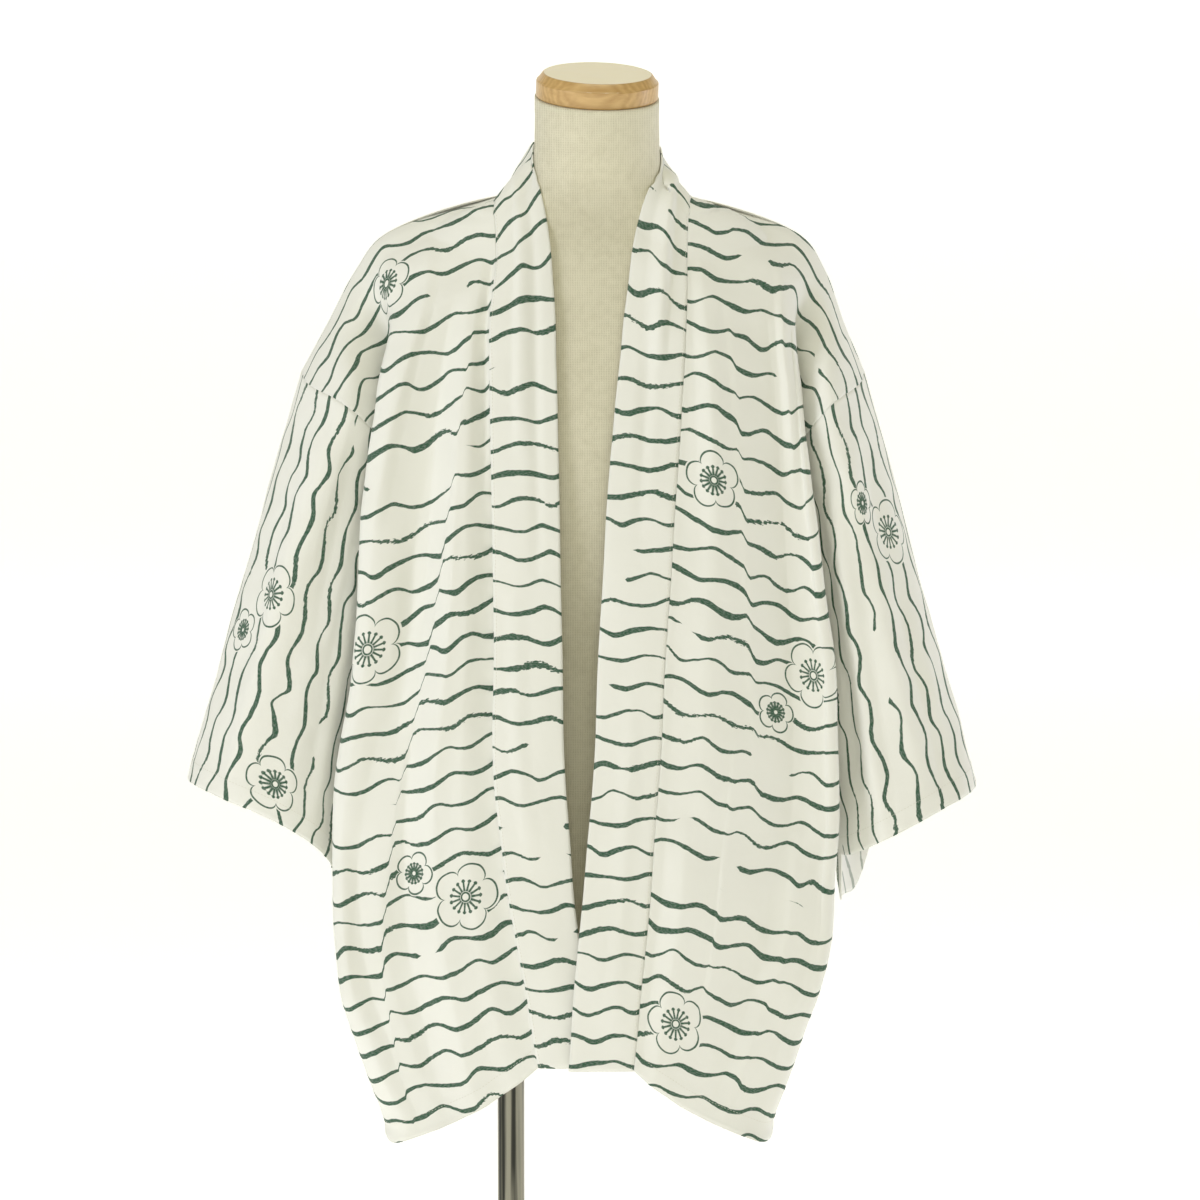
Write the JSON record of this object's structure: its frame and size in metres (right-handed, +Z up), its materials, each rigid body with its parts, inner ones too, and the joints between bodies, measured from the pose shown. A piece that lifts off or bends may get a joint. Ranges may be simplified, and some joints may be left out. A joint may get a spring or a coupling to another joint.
{
  "type": "happi coat on a dress form",
  "caption": "Open straight happi coat with wide sleeves and a long collar band, hanging on a limbless linen dress form with a wooden neck cap and a steel stand.",
  "frame": {"origin": "centre of the base plate's underside, on the floor", "axes": "+Z up the stand; -Y is the coat's open front; +X is the wearer's left"},
  "size_m": [0.7914, 0.38, 1.4084],
  "materials": {
    "cloth": "plain-woven printed cotton",
    "linen": "woven linen cover",
    "wood": "clear-lacquered light hardwood",
    "chrome": "polished",
    "plate": "satin"
  },
  "bodies": {
    "root": {"back": "cloth", "front_right": "cloth", "front_left": "cloth", "sleeve_right": "cloth", "sleeve_left": "cloth", "collar": "cloth", "torso": "linen", "neck_cap": "wood", "pole": "chrome", "base_plate": "plate"}
  },
  "joints": []
}
